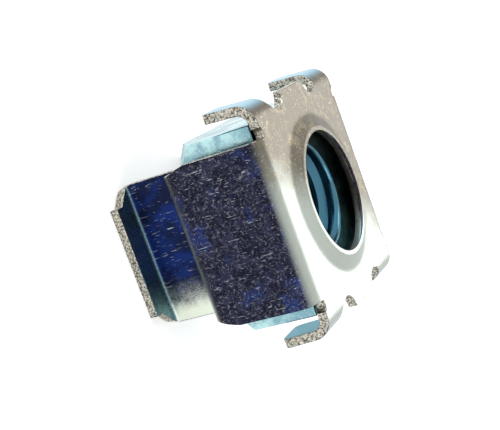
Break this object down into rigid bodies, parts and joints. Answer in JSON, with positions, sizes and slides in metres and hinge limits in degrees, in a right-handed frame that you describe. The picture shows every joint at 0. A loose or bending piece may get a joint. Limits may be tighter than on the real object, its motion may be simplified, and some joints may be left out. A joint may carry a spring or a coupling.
{
  "type": "cage nut",
  "caption": "Cage nut for a rack's square holes: a square nut held loosely in a folded spring-steel cage with snap-in legs, corner tabs and a raised collar round the screw hole.",
  "frame": {"origin": "on the screw axis, at the height of the lips' lowest edges, so the part stands on its lips at Z = 0", "axes": "+Z along the screw axis from the lips to the plate with the collar; +X square to one folded wall; +Y along the walls, square to a pair of tabs"},
  "size_m": [0.0138, 0.0138, 0.0112],
  "materials": {
    "cage_steel": "zinc plated, mottled and finely scratched",
    "nut_steel": "zinc plated, smooth"
  },
  "bodies": {
    "root": {"cage": "cage_steel", "nut": "nut_steel"}
  },
  "joints": []
}
